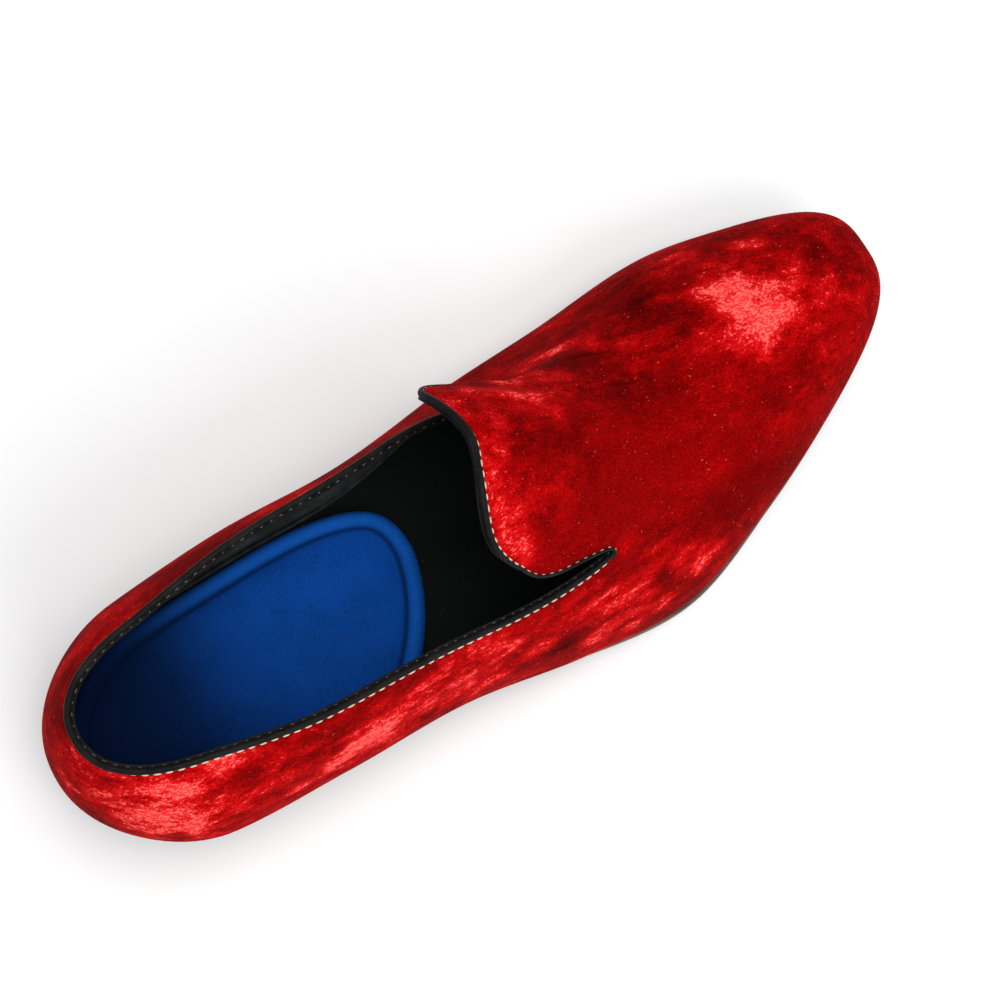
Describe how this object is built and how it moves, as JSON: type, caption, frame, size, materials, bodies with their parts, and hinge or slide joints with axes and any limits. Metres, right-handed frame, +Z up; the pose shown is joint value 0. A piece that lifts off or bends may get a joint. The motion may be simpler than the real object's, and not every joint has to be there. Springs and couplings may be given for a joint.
{
  "type": "smoking slipper",
  "caption": "Man's slip-on smoking slipper for the right foot: hollow velvet upper with a turned-back tongue, bound collar, thin sole with a low heel, insole and padded heel cushion.",
  "frame": {"origin": "centre of the shoe's box, on the floor it stands on", "axes": "+X from heel to toe, +Y to the inner (big toe) side of the right foot, +Z up from the floor"},
  "size_m": [0.302, 0.1052, 0.0925],
  "materials": {
    "velvet": "crushed red velvet",
    "binding": "matt black leather",
    "outsole": "smooth, edge painted dark",
    "heel": "matt black",
    "sock": "black woven cloth",
    "heel_pad": "royal blue cloth over foam"
  },
  "bodies": {
    "root": {"upper": "velvet", "binding": "binding", "outsole": "outsole", "heel": "heel", "insole": "sock", "heel_pad": "heel_pad"}
  },
  "joints": []
}
